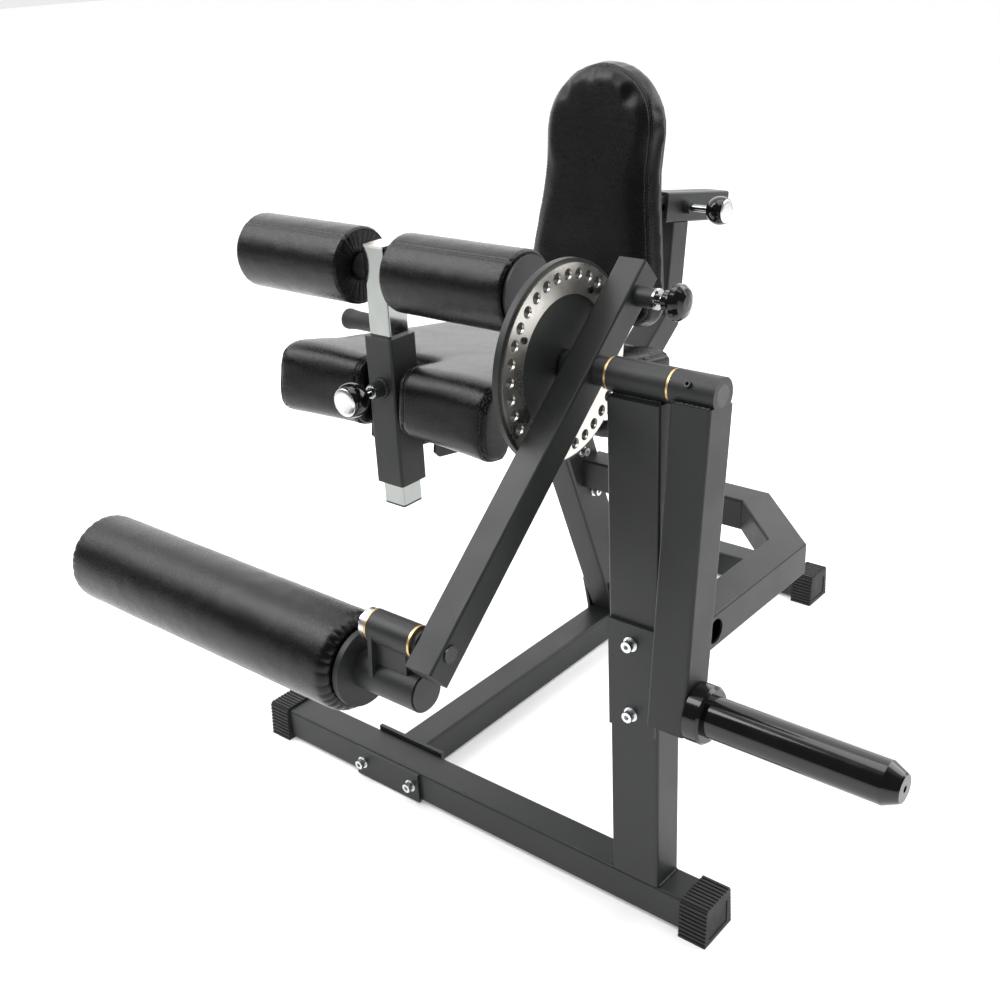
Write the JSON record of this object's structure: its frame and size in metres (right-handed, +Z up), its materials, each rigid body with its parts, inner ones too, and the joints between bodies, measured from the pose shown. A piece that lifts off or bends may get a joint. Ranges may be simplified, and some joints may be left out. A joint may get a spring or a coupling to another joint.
{
  "type": "leg extension machine",
  "caption": "Plate-loaded seated leg extension and leg curl machine with foam rollers, indexed roller arm, sliding backrest and weight horn.",
  "frame": {"origin": "on the floor, under the middle of the machine's bounding box", "axes": "+X towards the weight horn, +Y from the ankle roller towards the backrest, +Z up"},
  "size_m": [1.133, 1.254, 1.0021],
  "materials": {
    "powder_coat": "fine textured powder coat",
    "rubber": "matt moulded",
    "bronze": "sintered bronze",
    "zinc_plate": "bright zinc plate",
    "plywood": "black stained plywood",
    "vinyl": "grained upholstery vinyl over foam",
    "black_plastic": "satin",
    "gloss_black": "glossy",
    "chrome": "mirror",
    "satin_nickel": "satin nickel"
  },
  "bodies": {
    "frame": {"front_beam": "powder_coat", "rubber_feet": "rubber", "post": "powder_coat", "pivot_housing": "powder_coat", "housing_bushes": "bronze", "base_tube": "powder_coat", "base_plates": "powder_coat", "brace_side": "powder_coat", "brace_corner": "powder_coat", "brace_cross": "powder_coat", "brace_plates": "powder_coat", "strut": "powder_coat", "frame_bolts": "zinc_plate", "rear_beam": "powder_coat", "seat_tube": "powder_coat", "seat_rails": "powder_coat", "seat_board": "plywood", "seat_pad": "vinyl", "thigh_receiver": "powder_coat", "receiver_liners": "black_plastic", "handle_bars": "powder_coat", "hand_grips": "rubber", "back_diagonal": "powder_coat", "back_upright": "powder_coat", "back_receiver": "powder_coat"},
    "shaft": {"main_shaft": "zinc_plate", "index_disc": "powder_coat", "index_ring": "satin_nickel", "shaft_screws": "zinc_plate", "weight_lever": "powder_coat", "lever_hub": "powder_coat", "horn_collar": "gloss_black", "horn_sleeve": "gloss_black", "horn_cap": "gloss_black"},
    "arm": {"roller_arm": "powder_coat", "swing_shaft": "zinc_plate", "swing_collar": "zinc_plate"},
    "carriage": {"swing_bracket": "powder_coat", "swing_bushes": "bronze", "axle_caps": "black_plastic", "flange_disc": "powder_coat"},
    "ankle": {"ankle_roller": "vinyl", "ankle_core": "black_plastic"},
    "thigh": {"thigh_post": "chrome", "thigh_top_cap": "satin_nickel", "thigh_foot_plug": "black_plastic", "thigh_axle": "powder_coat", "thigh_collars": "black_plastic"},
    "left_thigh_roller": {"left_thigh_roller": "vinyl"},
    "right_thigh_roller": {"right_thigh_roller": "vinyl"},
    "back": {"back_slide": "powder_coat", "back_slide_plug": "black_plastic", "back_board": "plywood", "back_pad": "vinyl"},
    "arm_pin": {"arm_pin": "chrome", "arm_knob": "gloss_black"},
    "thigh_pin": {"thigh_pin": "chrome", "thigh_knob": "gloss_black"},
    "back_pin": {"back_pin": "chrome", "back_knob": "gloss_black"}
  },
  "joints": [
    {"name": "shaft_turn", "type": "hinge", "parent": "frame", "child": "shaft", "pos_m": [0.2185, -0.288, 0.732], "axis": [1, 0, 0], "range_deg": [-65, 40]},
    {"name": "arm_adjust", "type": "hinge", "parent": "shaft", "child": "arm", "pos_m": [0.2185, -0.288, 0.732], "axis": [1, 0, 0], "range_deg": [-33.75, 33.75]},
    {"name": "carriage_swing", "type": "hinge", "parent": "arm", "child": "carriage", "pos_m": [0.0835, -0.5665, 0.499], "axis": [1, 0, 0], "range_deg": [-45, 30]},
    {"name": "ankle_spin", "type": "hinge", "parent": "carriage", "child": "ankle", "pos_m": [-0.2315, -0.5665, 0.437], "axis": [1, 0, 0], "continuous": true},
    {"name": "thigh_slide", "type": "slide", "parent": "frame", "child": "thigh", "axis": [0, 0, 1], "range_m": [-0.025, 0.1]},
    {"name": "left_thigh_spin", "type": "hinge", "parent": "thigh", "child": "left_thigh_roller", "pos_m": [-0.3715, -0.2305, 0.789], "axis": [1, 0, 0], "continuous": true},
    {"name": "right_thigh_spin", "type": "hinge", "parent": "thigh", "child": "right_thigh_roller", "pos_m": [-0.0915, -0.2305, 0.789], "axis": [1, 0, 0], "continuous": true},
    {"name": "back_slide", "type": "slide", "parent": "frame", "child": "back", "axis": [0, 0.9877, -0.1564], "range_m": [-0.06, 0.12]},
    {"name": "arm_pin_travel", "type": "slide", "parent": "arm", "child": "arm_pin", "axis": [-1, 0, 0], "range_m": [0, 0.008]},
    {"name": "thigh_pin_travel", "type": "slide", "parent": "frame", "child": "thigh_pin", "axis": [0, 1, 0], "range_m": [0, 0.012]},
    {"name": "back_pin_travel", "type": "slide", "parent": "frame", "child": "back_pin", "axis": [-1, 0, 0], "range_m": [0, 0.012]}
  ]
}
